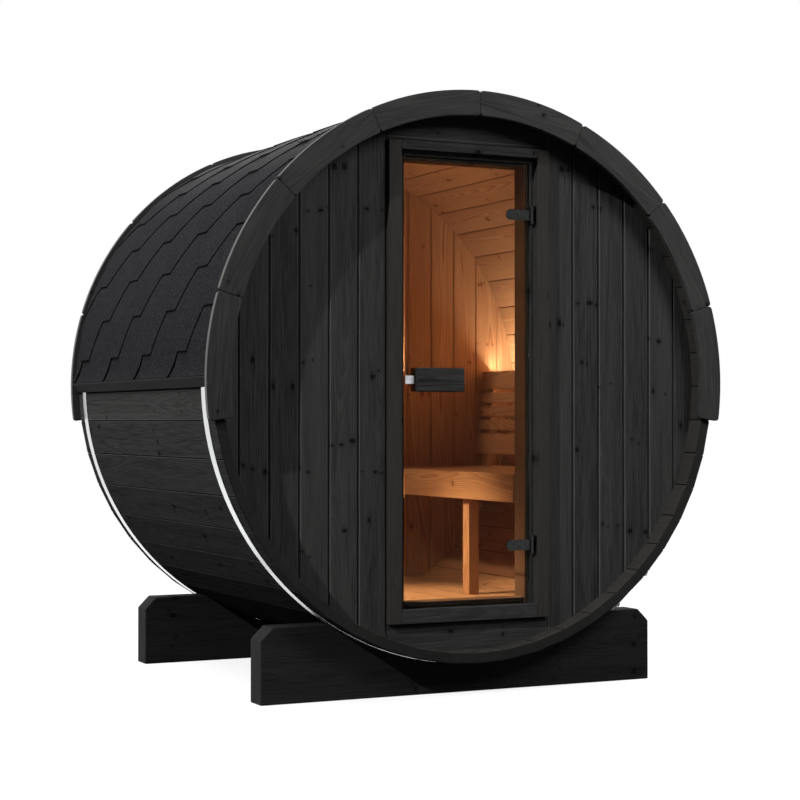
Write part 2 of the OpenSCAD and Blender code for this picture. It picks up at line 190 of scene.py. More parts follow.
# Band tensioners
TENSIONER_TURN = math.radians(138)
BAND_R = 1.0042
ROD_ABOVE = 0.03
ROD_R = BAND_R + ROD_ABOVE
ROD_D = 0.012
ROD_LEN = 0.222
ROD_TIP = 0.002
ROD_ARRIS = 0.0015
ROD_SIDES = 20
ROD_ANGLE = 60
THREAD_PITCH = 0.00175
THREAD_DEPTH = THREAD_PITCH * 0.6
THREAD_FLANK = THREAD_PITCH * 0.4
THREAD_STEPS = 14
THREAD_ANGLE = 50
CORE_R = ROD_D / 2 - THREAD_DEPTH * 0.75
LUG_T = 0.006
LUG_W = 0.03
LUG_TOP = ROD_R + ROD_D
LUG_APART = math.radians(4)
LUG_TURN = LUG_APART + LUG_T / STAVE_R
LUG_ROUND = LUG_W * 0.35
LUG_ARRIS = 0.0008
LUG_STEPS = 5
NUT_D = 0.02
NUT_T = 0.01
NUT_SIDES = 6
NUT_EASE = 0.12
NUT_ANGLE = 30
WASHER_D = 0.026
WASHER_T = 0.0022
WASHER_SIDES = 32
WASHER_AT = ROD_R * math.tan(LUG_TURN) + LUG_T * 0.55 + WASHER_T / 2
NUT_AT = WASHER_AT + (WASHER_T + NUT_T) / 2

# Grain of the wood: whorls of knots, growth rings, dark pith lines and fibres
GRAIN_PARTS = ("Ring", "Knot", "Heart", "Halo", "Pith", "Fibre", "Streak")
GRAIN_SPAN = 60
WHORL_PITCH = 0.30
WHORL_SHIFT = 7.31
WHORL_SLIP = (0.25, 0.75)
KNOT_PITCH = 0.036
KNOT_SPREAD = 0.8
KNOT_SCATTER = (-0.016, 0.016)
KNOT_SHARE = 0.5
KNOT_STRETCH = (0.65, 1.35)
KNOT_SIZES = (0.003, 0.0125)
KNOT_LEAST = 0.0005
KNOT_WOBBLE = (-0.003, 0.003)
WOBBLE_SCALE = 90
KNOT_SOFT = (0.5, 1.3)
HEART_SOFT = (0.25, 0.85)
PULL_FALL = -0.2
PULL_FADE = (0.2 * KNOT_PITCH, 0.5 * KNOT_PITCH)
RING_PITCH = 0.0058
RING_WAVER = (-0.0014, 0.0014)
RING_RISE = 2.2
RING_FALL = (0.86, 1.0)
LOG_ACROSS = (-0.06, 0.06)
LOG_DEEP = (-0.085, -0.012)
ACROSS_DRIFT = 0.55
DEEP_DRIFT = 0.5
ACROSS_SEED = (3.7, 1.3)
DEEP_SEED = (9.1, 5.2)
PITH_W = 0.0016
PITH_EDGE = (0.3 * PITH_W, PITH_W)
PITH_DRIFT = 0.8
PITH_BREAKS = 2.3
PITH_REACH = (-0.035, 0.035)
PITH_SHOWN = (0.54, 0.62)
FIBRE_STRETCH = (7, 210, 210)
STREAK_STRETCH = (1.6, 26, 26)
WAVER_STRETCH = (2.5, 30, 30)
WAVER_DETAIL = 3
FINE_NOISE = (4, 0.65)
NOISE_SPAN = (0.3, 0.7)
FIBRE_SPAN = (0.35, 0.7)
ROUGH_SPAN = (0.2, 0.8)

# Colours of the wood, and how strongly each part of the grain shows
BLACK_DEEP = (0.0105, 0.0105, 0.0108, 1)
BLACK_WORN = (0.038, 0.0378, 0.0372, 1)
BLACK_FIBRE = (0.066, 0.0655, 0.064, 1)
BLACK_LINE = (0.0065, 0.0065, 0.0068, 1)
# Near-black of knots, also used for painted shade in joints and on the cradles
BLACK_KNOT_AND_SHADE = (0.003, 0.003, 0.003, 1)
# Colour of the painted highlight on the eased edges of black boards
PAINTED_EDGE_HIGHLIGHT = (0.13, 0.129, 0.127, 1)
END_DARK = (0.013, 0.013, 0.0125, 1)
LIP_BROWN = (0.030, 0.0275, 0.0225, 1)
SPRUCE_PALE = (0.66, 0.43, 0.26, 1)
SPRUCE_WARM = (0.52, 0.30, 0.165, 1)
SPRUCE_LINE = (0.29, 0.135, 0.062, 1)
# Dark brown of knots, also used for painted shade in the grooves on the room's side
SPRUCE_KNOT_AND_SHADE = (0.13, 0.055, 0.025, 1)
SPRUCE_HEART = (0.30, 0.135, 0.06, 1)
TONE_SHARE = 0.5
BLACK_LOOK = {
    "ground": (BLACK_DEEP, BLACK_WORN), "streak": (0.3, 0.75), "rough": (0.46, 0.66), "relief": 0.6,
    "parts": {"Ring": BLACK_LINE, "Halo": BLACK_LINE, "Pith": BLACK_KNOT_AND_SHADE},
    "fibre": BLACK_FIBRE, "knot": (BLACK_KNOT_AND_SHADE, BLACK_LINE),
    "shares": {"Streak": 0.75, "Fibre": 0.55, "Ring": 0.32, "Halo": 0.45, "Pith": 0.75, "Knot": 0.85},
}
SPRUCE_LOOK = {
    "ground": (SPRUCE_PALE, SPRUCE_WARM), "streak": NOISE_SPAN, "rough": (0.45, 0.6), "relief": 0.5,
    "parts": {"Ring": SPRUCE_LINE, "Halo": SPRUCE_LINE, "Pith": SPRUCE_LINE},
    "fibre": SPRUCE_LINE, "knot": (SPRUCE_KNOT_AND_SHADE, SPRUCE_HEART),
    "shares": {"Streak": 0.6, "Fibre": 0.3, "Ring": 0.9, "Halo": 0.5, "Pith": 0.5, "Knot": 0.85},
}
SHELL_KNOTS = 0.62
TIMBER_KNOTS = 0.5
ROOM_KNOTS = 0.6
CLEAR_KNOTS = 0.06
BLACK_RELIEF = (0.35, 0.0008)
SPRUCE_RELIEF = (0.3, 0.0006)
SPRUCE_SHINE = 0.1
RIM_SHINE = (0.01, 0.7)

# Stain: where it ends and how ends of boards show; painted shade in joints and on cradles; painted
# highlights on edges
STAIN_FRONT = 0.022
STAIN_BACK = 0.015
ROOM_FRONT = FRONT_FACE + STAIN_FRONT
ROOM_BACK = REAR_FACE - STAIN_BACK
ROOM_R = STAVE_R - STAVE_T / 2
JOINT_SHALLOW = 0.0006
JOINT_DEEP = 0.0018
JOINT_END = 2 * JOINT_DEEP
# Strength of the painted shade in the joint grooves outside and inside
PAINTED_JOINT_SHADE = 0.85
PAINTED_VEE_SHADE = 0.7
VEE_TOP = -STAVE_T * 0.6
VEE_SPAN = (JOINT_SHALLOW - STAVE_T, JOINT_DEEP - STAVE_T)
# Width and strength of the painted highlight along eased edges, weaker on the far edge as if lit from one
# side
HIGHLIGHT_W = 0.0022
END_SHADE = 0.7
LIP_SHADE = 0.5
SHELL_EDGE_HIGHLIGHT = 0.15
WALL_EDGE_HIGHLIGHT = 0.5
WALL_FAR_EDGE_HIGHLIGHT = 0.3
FRAME_BARE = 0.34
# Share of painted shade that darkens the cradles and the eave battens
CRADLE_PAINTED_SHADE = 0.5

# Shingle grit
SHINGLE_DARK = (0.006, 0.006, 0.0066, 1)
SHINGLE_PALE = (0.012, 0.0118, 0.013, 1)
GRIT_PALE = (0.042, 0.0415, 0.0445, 1)
GRIT_DARK = (0.003, 0.003, 0.0035, 1)
GRIT_NOISE = (190, 4, 0.75)
CLOUD_NOISE = (22, 4, 0.6)
SHINGLE_SHADE = (0, 0.4)
PALE_GRAINS = ((0.5, 0.68), (0, 0.9))
DARK_GRAINS = ((0.47, 0.32), (0, 0.8))
GRIT_ROUGH = (0.95, 0.72)
GRIT_RELIEF = (0.5, 0.0012)
SHINGLE_SHINE = {"Specular IOR Level": 0.01, "Sheen Weight": 0.1, "Sheen Roughness": 0.2}

# Steels, each as its darker colour, brighter colour and roughness
BRIGHT = ((0.62, 0.63, 0.64, 1), (0.80, 0.81, 0.82, 1), 0.22)
SATIN = ((0.42, 0.425, 0.43, 1), (0.58, 0.585, 0.59, 1), 0.3)
DULL = ((0.12, 0.12, 0.122, 1), (0.24, 0.24, 0.245, 1), 0.3)
GUNMETAL = ((0.02, 0.021, 0.021, 1), (0.035, 0.036, 0.036, 1), 0.28)
BRUSH_STRETCH = (60, 900, 60)
STEEL_CLOUD = (14, 3)
STEEL_SPREAD = 0.12
STEEL_RELIEF = (0.12, 0.0002)

# Glass and lamp
BRONZE = ((0.80, 0.63, 0.45, 1), (0.82, 0.65, 0.47, 1))
HAZE_SCALE = 3
GLASS_IOR = 1.12
OPAL = ((1.0, 0.74, 0.40, 1), (1.0, 0.80, 0.48, 1))
OPAL_STRETCH = (2, 9, 2)
OPAL_ROUGH = 0.4

# Soft lights outside: place, target, width in metres, power in watts
WHITE = (1, 1, 1)
SOFT_LIGHTS = {
    "left_soft": ((-3.6, 0.4, 6.4), (-0.5, 0.2, 1.3), 2.5, 490),
    "right_fill": ((1.6, -4.2, 4.0), (0.2, -0.7, 1.4), 2.0, 152),
    "right_soft": ((5.5, -0.6, 4.0), (0, 0, 1.2), 3.0, 420),
    "rear_fill": ((3.0, 6.5, 4.0), (0, 0, 1.2), 3.0, 700),
}
KEY_COMES_FROM = Vector((-0.803, -0.273, 0.53))
KEY_STRENGTH = 2.7
KEY_SOFTNESS = math.radians(1.0)
WORLD_LEVEL = 0.075

# Warm lights in the room: place, target, cone in degrees, radius in metres, power in watts
WARM = (1.0, 0.87, 0.68)
ROOM_LIGHTS = {
    "side_glow": ((-0.62, -0.1, 1.35), (0.235, -0.05, 0.4), 64, 0.05, 26),
    "floor_glow": ((-0.6, -0.25, 1.5), (-0.04, -0.25, 0.3), 54, 0.04, 124),
    "backrest_glow": ((0.1, 0.45, 1.9), (0.77, 0.35, 1.06), 36, 0.05, 17),
    "ceiling_glow": ((0.35, 0.0, 0.9), (-0.15, 0.2, 2.05), 84, 0.05, 8),
}
CONE_BLEND = 0.75
GLOW = (1.0, 1.0, 0.95)
GLOW_TURN = math.radians(222)
GLOW_ABOVE = 0.012
GLOW_W = 0.03
GLOW_INSET = 0.04
GLOW_POWER = 6.4

# Floor and the photograph's camera
FLOOR_R = 4.5
FLOOR_SIDES = 96
FLOOR_DROP = 0.0005
FLOOR_FADE = (0.4 * FLOOR_R, FLOOR_R)
FLOOR_DARK = (0.05, 0.05, 0.05, 1)
FLOOR_PALE = (0.95, 0.95, 0.95, 1)
FULL_WHITE = (1, 1, 1, 1)
FLOOR_GLOW = 0.8
CAMERA_PLACE = (-3.187, -6.650, 0.973)
CAMERA_TURN = (90.631, 0, -26.086)
CAMERA_LENS = 84.76
SENSOR = 36


# Modelling by hand
def solo(piece):
    """Selects one piece and nothing else."""
    bpy.ops.object.select_all(action="DESELECT")
    piece.select_set(True)
    bpy.context.view_layer.objects.active = piece


def settle(piece):
    """Puts a piece's place, turn and scale into its mesh."""
    solo(piece)
    bpy.ops.object.transform_apply(location=True, rotation=True, scale=True)
    return piece


def pick(piece, kind, test):
    """Enters edit mode with only the parts selected that pass a test."""
    solo(piece)
    bpy.ops.object.mode_set(mode="EDIT")
    bpy.ops.mesh.select_mode(type=kind)
    bpy.ops.mesh.select_all(action="DESELECT")
    work = bmesh.from_edit_mesh(piece.data)
    parts = {"VERT": work.verts, "EDGE": work.edges, "FACE": work.faces}[kind]
    for part in parts:
        part.select_set(test(part))
    work.select_flush_mode()
    bmesh.update_edit_mesh(piece.data)


def pick_all(piece):
    """Enters edit mode with a whole piece selected."""
    pick(piece, "FACE", lambda face: True)


def done():
    """Leaves edit mode."""
    bpy.ops.object.mode_set(mode="OBJECT")


def bevel_edges(piece, test, width, steps):
    """Bevels the edges that pass a test."""
    pick(piece, "EDGE", test)
    bpy.ops.mesh.bevel(offset=width, segments=steps, affect="EDGES", clamp_overlap=True)
    done()


def middle(edge):
    """Middle of an edge."""
    return (edge.verts[0].co + edge.verts[1].co) / 2


def runs_along(edge, axis):
    """True where an edge runs along an axis."""
    way = (edge.verts[1].co - edge.verts[0].co).normalized()
    return abs(way.dot(axis)) > PARALLEL


def centre_of(piece):
    """Middle of a piece's box."""
    return sum((Vector(corner) for corner in piece.bound_box), Vector()) / len(piece.bound_box)


def soften(piece, width, segments=EASE_STEPS, angle=ARRIS_ANGLE):
    """Eases the sharp edges of a piece."""
    solo(piece)
    bevel = piece.modifiers.new("Bevel", "BEVEL")
    bevel.width = width
    bevel.segments = segments
    bevel.limit_method = "ANGLE"
    bevel.angle_limit = math.radians(angle)
    bpy.ops.object.modifier_apply(modifier="Bevel")
    return smooth(piece)


def smooth(piece, angle=SMOOTH_ANGLE):
    """Shades a piece smooth up to an angle, with its large faces kept flat."""
    solo(piece)
    bpy.ops.object.shade_smooth_by_angle(angle=math.radians(angle))
    weigh = piece.modifiers.new("Weigh", "WEIGHTED_NORMAL")
    weigh.mode = "FACE_AREA"
    weigh.weight = FACE_WEIGHT
    weigh.keep_sharp = True
    bpy.ops.object.modifier_apply(modifier="Weigh")
    return piece


def trim_to(piece, cutter):
    """Keeps the part of a piece that lies in a cutter."""
    solo(piece)
    boolean = piece.modifiers.new("Boolean", "BOOLEAN")
    boolean.object = cutter
    boolean.operation = "INTERSECT"
    boolean.solver = "EXACT"
    bpy.ops.object.modifier_apply(modifier="Boolean")


def slice_off(piece, point, outward):
    """Cuts away what lies past a plane."""
    pick_all(piece)
    bpy.ops.mesh.bisect(plane_co=point, plane_no=outward, clear_outer=True)
    done()


def score(piece, point, across):
    """Adds edges where a plane crosses a piece."""
    pick_all(piece)
    bpy.ops.mesh.bisect(plane_co=point, plane_no=across)
    done()


def copy_of(piece):
    """Copy of a piece with a mesh of its own."""
    twin = piece.copy()
    twin.data = piece.data.copy()
    bpy.context.collection.objects.link(twin)
    return twin


def remove(piece):
    """Deletes a piece that was only a tool or a pattern."""
    bpy.data.objects.remove(piece, do_unlink=True)


def joined(parts):
    """One piece made of several."""
    solo(parts[0])
    for part in parts:
        part.select_set(True)
    bpy.ops.object.join()
    return bpy.context.object


def plank(corner, far_corner):
    """Block between two corners."""
    corner = Vector(corner)
    far_corner = Vector(far_corner)
    bpy.ops.mesh.primitive_cube_add(size=1, location=(corner + far_corner) / 2)
    piece = bpy.context.object
    piece.scale = far_corner - corner
    return settle(piece)


def flat_sheet(place, length, width, rows=(1, 1)):
    """Flat sheet along X and Y."""
    columns, lines = rows
    bpy.ops.mesh.primitive_grid_add(x_subdivisions=columns, y_subdivisions=lines, size=1, location=place)
    piece = bpy.context.object
    piece.scale = (length, width, 1)
    return settle(piece)


def round_bar(radius, length, sides, place, turn):
    """Round or many-sided bar."""
    bpy.ops.mesh.primitive_cylinder_add(
        vertices=sides, radius=radius, depth=length, location=place, rotation=turn
    )
    return settle(bpy.context.object)


def solid_copy(node):
    """Copy of a solid with its triangles merged into clean faces."""
    piece = copy_of(frame["nodes"][node])
    piece.parent = None
    piece.data.materials.clear()
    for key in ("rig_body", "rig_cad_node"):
        del piece[key]
    pick_all(piece)
    bpy.ops.mesh.remove_doubles(threshold=MERGE)
    bpy.ops.mesh.select_all(action="SELECT")
    bpy.ops.mesh.dissolve_limited(angle_limit=FLAT_TURN)
    done()
    return piece


def loose_parts(piece):
    """The separate boards of a piece, each as a piece of its own."""
    pick_all(piece)
    bpy.ops.mesh.separate(type="LOOSE")
    done()
    return list(bpy.context.selected_objects)


def write_numbers(piece, name, rule):
    """Stores one number for each point."""
    store = piece.data.attributes.new(name, "FLOAT", "POINT")
    for vert in piece.data.vertices:
        store.data[vert.index].value = rule(vert.co)


def write_tone(piece, tone):
    """Stores one shade number for a whole board."""
    write_numbers(piece, "tone", lambda point: tone)


def lay_grain(piece, along, across, centre=None):
    """Stores each point's place in its board, as length, width and depth, with a tone for the board."""
    if centre is None:
        centre = centre_of(piece)
    depth = along.cross(across)
    start = chance.uniform(0, GRAIN_SPAN)
    store = piece.data.attributes.new("grain", "FLOAT_VECTOR", "POINT")
    for vert in piece.data.vertices:
        reach = vert.co - centre
        store.data[vert.index].vector = (reach.dot(along) + start, reach.dot(across), reach.dot(depth))
    write_tone(piece, chance.random())
    return piece


def keep(piece, name, material, node, body="cabin"):
    """Names a finished piece, gives it its finish and hangs it on the object."""
    piece.name = name
    piece.data.name = name
    piece.data.materials.clear()
    piece.data.materials.append(material)
    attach(piece, body)
    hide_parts(node)


def dress(node, along, across, arris, material, body="cabin", segments=EASE_STEPS):
    """Solid of one or more boards, with eased edges and its own grain in each board."""
    boards = loose_parts(solid_copy(node))
    for board in boards:
        soften(board, arris, segments)
        lay_grain(board, along, across)
    keep(joined(boards), node + "_dressed", material, node, body)


# Shader building
def feed(tree, made, links):
    """Sets or links the inputs of a node."""
    for socket, value in links.items():
        if isinstance(value, bpy.types.NodeSocket):
            tree.links.new(value, made.inputs[socket])
        else:
            made.inputs[socket].default_value = value
    return made


def shader_node(tree, kind, links=None, **settings):
    """Adds a shader node with its settings, values and links."""
    made = tree.nodes.new("ShaderNode" + kind)
    for key, value in settings.items():
        setattr(made, key, value)
    return feed(tree, made, links or {})


def calc(tree, operation, first, second=0.5, third=0.5, clamp=False):
    """Result of one sum."""
    links = {0: first, 1: second, 2: third}
    return shader_node(tree, "Math", links, operation=operation, use_clamp=clamp).outputs[0]


def times(tree, first, second):
    """Product of two values."""
    return calc(tree, "MULTIPLY", first, second)


def minus(tree, first, second):
    """Difference of two values."""
    return calc(tree, "SUBTRACT", first, second)


def ramp(tree, value, span, reach=UP, kind="LINEAR"):
    """Value moved from one range to another."""
    links = {0: value, 1: span[0], 2: span[1], 3: reach[0], 4: reach[1]}
    return shader_node(tree, "MapRange", links, interpolation_type=kind).outputs[0]


def soft_ramp(tree, value, span):
    """Value that falls softly from 1 to 0 over a range."""
    return ramp(tree, value, span, DOWN, "SMOOTHSTEP")


def blend(tree, factor, first, second):
    """Two colours blended."""
    return shader_node(tree, "Mix", {0: factor, 6: first, 7: second}, data_type="RGBA").outputs[2]


def noise(tree, vector, scale, detail=2.0, rough=0.5):
    """Soft noise."""
    links = {"Vector": vector, "Scale": scale, "Detail": detail, "Roughness": rough}
    return shader_node(tree, "TexNoise", links).outputs["Fac"]


def scaled(tree, vector, scale):
    """Vector stretched along its axes."""
    return shader_node(tree, "VectorMath", {0: vector, 1: scale}, operation="MULTIPLY").outputs[0]


def length_node(tree, vector):
    """Length of a vector."""
    return shader_node(tree, "VectorMath", {0: vector}, operation="LENGTH").outputs["Value"]


def vector_node(tree, first, second, third):
    """Vector made of three values."""
    return shader_node(tree, "CombineXYZ", {0: first, 1: second, 2: third}).outputs[0]


def parts_node(tree, vector):
    """Three values of a vector."""
    return shader_node(tree, "SeparateXYZ", {0: vector}).outputs


def draws_node(tree, colour):
    """Three values of a random colour."""
    return shader_node(tree, "SeparateColor", {0: colour}).outputs


def attribute(tree, name, output):
    """Reads a piece's own attribute."""
    return shader_node(tree, "Attribute", attribute_name=name).outputs[output]


def object_place(tree):
    """Place of a point on the object."""
    return shader_node(tree, "TexCoord").outputs["Object"]


def relief(tree, height, depths):
    """Small relief in the surface, of a given strength and distance."""
    links = {"Height": height, "Strength": depths[0], "Distance": depths[1]}
    return shader_node(tree, "Bump", links).outputs[0]


def new_group(name, inputs, outputs):
    """Empty shader group with named sockets."""
    tree = bpy.data.node_groups.new(name, "ShaderNodeTree")
    for way, sockets in (("INPUT", inputs), ("OUTPUT", outputs)):
        for label, kind in sockets.items():
            tree.interface.new_socket(label, in_out=way, socket_type="NodeSocket" + kind)
    return tree, tree.nodes.new("NodeGroupInput").outputs, tree.nodes.new("NodeGroupOutput")


def use_group(tree, group, links):
    """Outputs of a shader group placed in a material."""
    made = tree.nodes.new("ShaderNodeGroup")
    made.node_tree = group
    return feed(tree, made, links).outputs


def new_material(name):
    """Empty material with its shader."""
    material = bpy.data.materials.new(name)
    material.use_nodes = True
    return material, material.node_tree, material.node_tree.nodes["Principled BSDF"]


# Wood
def whorls(tree, grain, along, across, share):
    """Knots in whorls: distance to their side, distance in knot sizes, and where there is one."""
    run = calc(tree, "DIVIDE", along, WHORL_PITCH)
    row = calc(tree, "FLOOR", run)
    draw = shader_node(tree, "TexWhiteNoise", {"W": row}, noise_dimensions="1D").outputs
    row_draws = draws_node(tree, draw["Color"])
    slip = ramp(tree, draw["Value"], UP, WHORL_SLIP)
    past = minus(tree, minus(tree, run, row), slip)

    seat = calc(tree, "MULTIPLY_ADD", row, WHORL_SHIFT, calc(tree, "DIVIDE", across, KNOT_PITCH))
    links = {"W": seat, "Scale": 1, "Randomness": KNOT_SPREAD}
    cells = shader_node(tree, "TexVoronoi", links, voronoi_dimensions="1D").outputs
    knot_draws = draws_node(tree, cells["Color"])
    side = times(tree, minus(tree, seat, cells["W"]), KNOT_PITCH)
    scatter = ramp(tree, knot_draws[2], UP, KNOT_SCATTER)
    lift = calc(tree, "MULTIPLY_ADD", past, WHORL_PITCH, scatter)

    stretch = ramp(tree, row_draws[0], UP, KNOT_STRETCH)
    thin = calc(tree, "DIVIDE", 1, stretch)
    apart = length_node(tree, vector_node(tree, times(tree, lift, thin), times(tree, side, stretch), 0))
    wobble = ramp(tree, noise(tree, grain, WOBBLE_SCALE), UP, KNOT_WOBBLE)
    apart = calc(tree, "ADD", apart, wobble)
    size = ramp(tree, calc(tree, "POWER", knot_draws[0], 2), UP, KNOT_SIZES)
    in_whorl = calc(tree, "LESS_THAN", row_draws[1], share)
    present = times(tree, in_whorl, calc(tree, "LESS_THAN", knot_draws[1], KNOT_SHARE))
    size = calc(tree, "MAXIMUM", times(tree, size, present), KNOT_LEAST)
    return side, calc(tree, "DIVIDE", apart, size), present


def growth_rings(tree, grain, across, deep, drift, drift_deep):
    """Growth rings round the middle of the log."""
    log_across = ramp(tree, noise(tree, drift, ACROSS_DRIFT), NOISE_SPAN, LOG_ACROSS)
    log_deep = ramp(tree, noise(tree, drift_deep, DEEP_DRIFT), NOISE_SPAN, LOG_DEEP)
    way = vector_node(tree, minus(tree, across, log_across), minus(tree, deep, log_deep), 0)
    waver = noise(tree, scaled(tree, grain, WAVER_STRETCH), 1, WAVER_DETAIL)
    radius = calc(tree, "ADD", length_node(tree, way), ramp(tree, waver, UP, RING_WAVER))
    saw = calc(tree, "FRACT", calc(tree, "DIVIDE", radius, RING_PITCH))
    return times(tree, calc(tree, "POWER", saw, RING_RISE), soft_ramp(tree, saw, RING_FALL))


def pith_lines(tree, across, drift, drift_deep):
    """Dark lines that come and go along a board."""
    line = ramp(tree, noise(tree, drift, PITH_DRIFT), NOISE_SPAN, PITH_REACH)
    apart = calc(tree, "ABSOLUTE", minus(tree, across, line))
    shown = ramp(tree, noise(tree, drift_deep, PITH_BREAKS), PITH_SHOWN)
    return times(tree, ramp(tree, apart, PITH_EDGE, DOWN), shown)


def make_board_grain():
    """Growth rings that bend round knots, and fine fibres, in a board's own coordinates."""
    inputs = {"Grain": "Vector", "Knots": "Float"}
    tree, given, out = new_group("board_grain", inputs, dict.fromkeys(GRAIN_PARTS, "Float"))
    grain = given["Grain"]
    along, across, deep = parts_node(tree, grain)
    side, reach, present = whorls(tree, grain, along, across, given["Knots"])
    knot = times(tree, soft_ramp(tree, reach, KNOT_SOFT), present)
    heart = soft_ramp(tree, reach, HEART_SOFT)

    pull = calc(tree, "EXPONENT", times(tree, times(tree, reach, reach), PULL_FALL))
    near = soft_ramp(tree, calc(tree, "ABSOLUTE", side), PULL_FADE)
    pull = times(tree, times(tree, pull, present), near)
    bent = minus(tree, across, times(tree, side, pull))

    drift = vector_node(tree, along, *ACROSS_SEED)
    drift_deep = vector_node(tree, along, *DEEP_SEED)
    ring = growth_rings(tree, grain, bent, deep, drift, drift_deep)
    pith = pith_lines(tree, bent, drift, drift_deep)
    fibre = noise(tree, scaled(tree, grain, FIBRE_STRETCH), 1, *FINE_NOISE)
    streak = noise(tree, scaled(tree, grain, STREAK_STRETCH), 1, *FINE_NOISE)
    feed(tree, out, dict(zip(GRAIN_PARTS, (ring, knot, heart, pull, pith, fibre, streak))))
    return tree


def make_wood_colour(name, look):
    """Colour, roughness and height of boards from the parts of their grain."""
    outputs = {"Color": "Color", "Roughness": "Float", "Height": "Float"}
    tree, given, out = new_group(name, dict.fromkeys(GRAIN_PARTS + ("Tone",), "Float"), outputs)
    shares = look["shares"]
    tone = ramp(tree, given["Tone"], UP, (0, TONE_SHARE))
    streak = ramp(tree, given["Streak"], look["streak"], (0, shares["Streak"]))
    colour = blend(tree, calc(tree, "ADD", streak, tone), *look["ground"])
    fibre = ramp(tree, given["Fibre"], FIBRE_SPAN, (0, shares["Fibre"]))
    colour = blend(tree, fibre, colour, look["fibre"])
    for label, paint in look["parts"].items():
        colour = blend(tree, times(tree, given[label], shares[label]), colour, paint)
    knot = blend(tree, given["Heart"], *look["knot"])
    colour = blend(tree, times(tree, given["Knot"], shares["Knot"]), colour, knot)
    rough = ramp(tree, given["Fibre"], ROUGH_SPAN, look["rough"])
    height = minus(tree, times(tree, given["Fibre"], look["relief"]), given["Ring"])
    feed(tree, out, {"Color": colour, "Roughness": rough, "Height": height})
    return tree


def make_room_side():
    """Mask that is 1 on the surfaces that face the room."""
    tree, given, out = new_group("room_side", {"Place": "Vector"}, {"Inside": "Float"})
    across, along, up = parts_node(tree, given["Place"])
    radius = length_node(tree, vector_node(tree, across, 0, minus(tree, up, AXIS_H)))
    behind = calc(tree, "GREATER_THAN", along, ROOM_FRONT)
    before = calc(tree, "LESS_THAN", along, ROOM_BACK)
    within = calc(tree, "LESS_THAN", radius, ROOM_R)
    feed(tree, out, {"Inside": times(tree, times(tree, behind, before), within)})
    return tree


BOARD_GRAIN = make_board_grain()
BLACK_STAIN = make_wood_colour("black_stain", BLACK_LOOK)
BARE_SPRUCE = make_wood_colour("bare_spruce", SPRUCE_LOOK)
ROOM_SIDE = make_room_side()


def wood_parts(tree, knots):
    """Grain of a board from its own attributes, as links for a colour group."""
    grain = use_group(tree, BOARD_GRAIN, {"Grain": attribute(tree, "grain", "Vector"), "Knots": knots})
    links = {label: grain[label] for label in GRAIN_PARTS}
    links["Tone"] = attribute(tree, "tone", "Fac")
    return links


def paint_wood(tree, shader, colour, wood, depths, shine):
    """Gives a wood shader its colour, and the wood's own roughness and relief."""
    feed(tree, shader, {"Base Color": colour, "Roughness": wood["Roughness"]})
    feed(tree, shader, {"Normal": relief(tree, wood["Height"], depths), "Specular IOR Level": shine})


def black_wood_finish(name, depth):
    """Boards under a black stain, darkened by a share of painted shade where one is given."""
    material, tree, shader = new_material(name)
    black = use_group(tree, BLACK_STAIN, wood_parts(tree, TIMBER_KNOTS))
    # Painted shade: the stain is darkened towards black by the given share
    shaded = blend(tree, depth, black["Color"], BLACK_KNOT_AND_SHADE)
    rim = ramp(tree, attribute(tree, "rim", "Fac"), UP, RIM_SHINE)
    paint_wood(tree, shader, shaded, black, BLACK_RELIEF, rim)
    return material


def spruce_finish(name, knots):
    """Bare planed boards."""
    material, tree, shader = new_material(name)
    bare = use_group(tree, BARE_SPRUCE, wood_parts(tree, knots))
    paint_wood(tree, shader, bare["Color"], bare, SPRUCE_RELIEF, SPRUCE_SHINE)
    return material


def shell_finish(name, bareness, edge, far_edge_highlight, skin, edge_highlight):
    """Boards stained black outside and left bare, or thinly stained, on the room's side."""
    material, tree, shader = new_material(name)
    links = wood_parts(tree, SHELL_KNOTS)
    black = use_group(tree, BLACK_STAIN, links)
    bare = use_group(tree, BARE_SPRUCE, links)
    inside = use_group(tree, ROOM_SIDE, {"Place": object_place(tree)})["Inside"]
    across, depth = parts_node(tree, attribute(tree, "grain", "Vector"))[1:]

    # Painted shade in the joint grooves: their bevels are darkened towards black
    joint = ramp(tree, depth, (-JOINT_DEEP, -JOINT_SHALLOW), DOWN)
    joint = times(tree, joint, calc(tree, "GREATER_THAN", depth, -JOINT_END))
    outside = blend(tree, times(tree, joint, PAINTED_JOINT_SHADE), black["Color"], BLACK_KNOT_AND_SHADE)
    # Painted highlight: eased edges are lightened as if they catch the light, less on the far edge
    apart = calc(tree, "ABSOLUTE", minus(tree, calc(tree, "ABSOLUTE", across), edge))
    painted_highlight = ramp(tree, apart, (0, HIGHLIGHT_W), (edge_highlight, 0))
    painted_highlight = times(tree, painted_highlight, ramp(tree, across, (-HIGHLIGHT_W, HIGHLIGHT_W), (1, far_edge_highlight)))
    face = calc(tree, "GREATER_THAN", depth, -skin)
    outside = blend(tree, times(tree, painted_highlight, face), outside, PAINTED_EDGE_HIGHLIGHT)
    inner_lip = calc(tree, "LESS_THAN", depth, VEE_SPAN[0])
    end = minus(tree, minus(tree, 1, face), inner_lip)
    outside = blend(tree, times(tree, end, END_SHADE), outside, END_DARK)
    outside = blend(tree, times(tree, inner_lip, LIP_SHADE), outside, LIP_BROWN)

    # Painted shade in the joint grooves on the room's side
    vee = times(tree, ramp(tree, depth, VEE_SPAN), calc(tree, "LESS_THAN", depth, VEE_TOP))
    room = blend(tree, times(tree, vee, PAINTED_VEE_SHADE), bare["Color"], SPRUCE_KNOT_AND_SHADE)
    colour = blend(tree, times(tree, inside, bareness), outside, room)
    paint_wood(tree, shader, colour, black, BLACK_RELIEF, 0)
    return material


